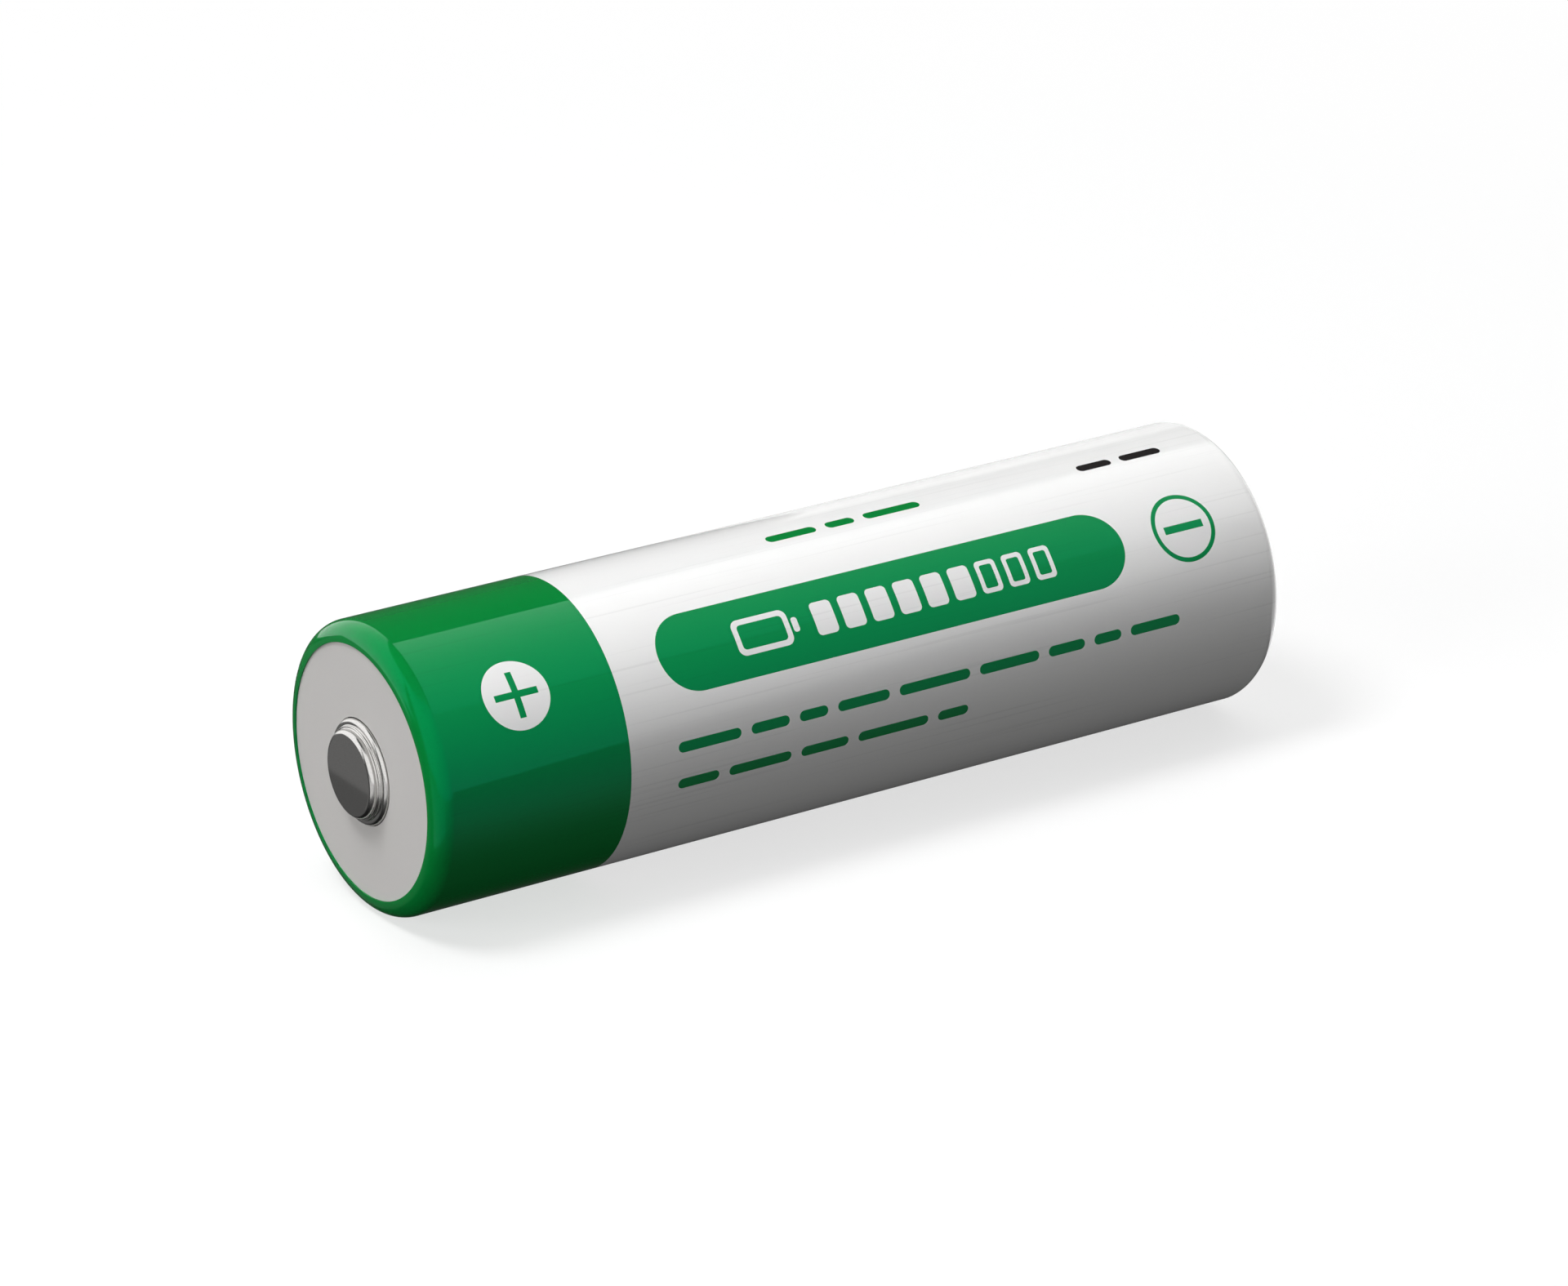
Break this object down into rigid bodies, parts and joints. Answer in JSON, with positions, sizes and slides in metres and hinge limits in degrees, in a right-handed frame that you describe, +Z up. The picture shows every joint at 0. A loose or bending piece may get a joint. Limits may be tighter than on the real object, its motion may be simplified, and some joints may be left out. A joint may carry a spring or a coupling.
{
  "type": "cylindrical battery cell",
  "caption": "Round lithium cell with a raised button end, a flat end, a glossy green and white sleeve, a wound core, a pressure interrupt in the cap and a small protection board.",
  "frame": {"origin": "on the plane the cell rests on, under the middle of its overall length", "axes": "cell axis along Y with the positive button end at -Y and the negative end at +Y; +Z up"},
  "size_m": [0.0214, 0.0732, 0.0214],
  "materials": {
    "printed_film": "gloss",
    "grey_paper": "matte",
    "contact_plate": "satin",
    "nickel_strip": "satin",
    "amber_film": "gloss",
    "white_fibre": "matte",
    "can_plate": "satin",
    "clear_gasket": "satin",
    "ptc_polymer": "matte",
    "soft_aluminium": "satin",
    "white_plastic": "satin",
    "separator_film": "satin",
    "cathode_coating": "matte",
    "anode_coating": "matte",
    "blue_tape": "gloss",
    "pin_steel": "satin",
    "fibre_insulator": "matte",
    "fish_paper": "matte",
    "board_laminate": "satin",
    "moulded_epoxy": "matte",
    "resistor_body": "satin",
    "capacitor_body": "satin"
  },
  "bodies": {
    "cell": {"shrink_sleeve": "printed_film", "cover_washer": "grey_paper", "button_contact": "contact_plate", "negative_contact": "contact_plate", "sense_strip": "nickel_strip", "strip_insulation_tape": "amber_film", "crimp_insulator_ring": "white_fibre", "steel_can": "can_plate", "crimp_gasket": "clear_gasket", "top_cap": "can_plate", "ptc_ring": "ptc_polymer", "vent_disc": "soft_aluminium", "interrupter_insulator": "white_plastic", "interrupter_plate": "soft_aluminium", "separator_inner": "separator_film", "separator_outer": "separator_film", "cathode_strip": "cathode_coating", "anode_strip": "anode_coating", "winding_tape": "blue_tape", "positive_tab": "soft_aluminium", "negative_tab": "nickel_strip", "centre_pin": "pin_steel", "top_insulator": "fibre_insulator", "bottom_insulator": "fibre_insulator", "board_insulator": "fish_paper", "protection_board": "board_laminate", "power_switch_chips": "moulded_epoxy", "protection_chip": "moulded_epoxy", "chip_resistors": "resistor_body", "chip_capacitors": "capacitor_body", "board_tab": "nickel_strip"},
    "interrupter": {"weld_slug": "soft_aluminium"}
  },
  "joints": [
    {"name": "interrupter_snap", "type": "slide", "parent": "cell", "child": "interrupter", "axis": [0, -1, 0], "range_m": [0, 0.0006], "deforming": ["vent_disc"]}
  ]
}
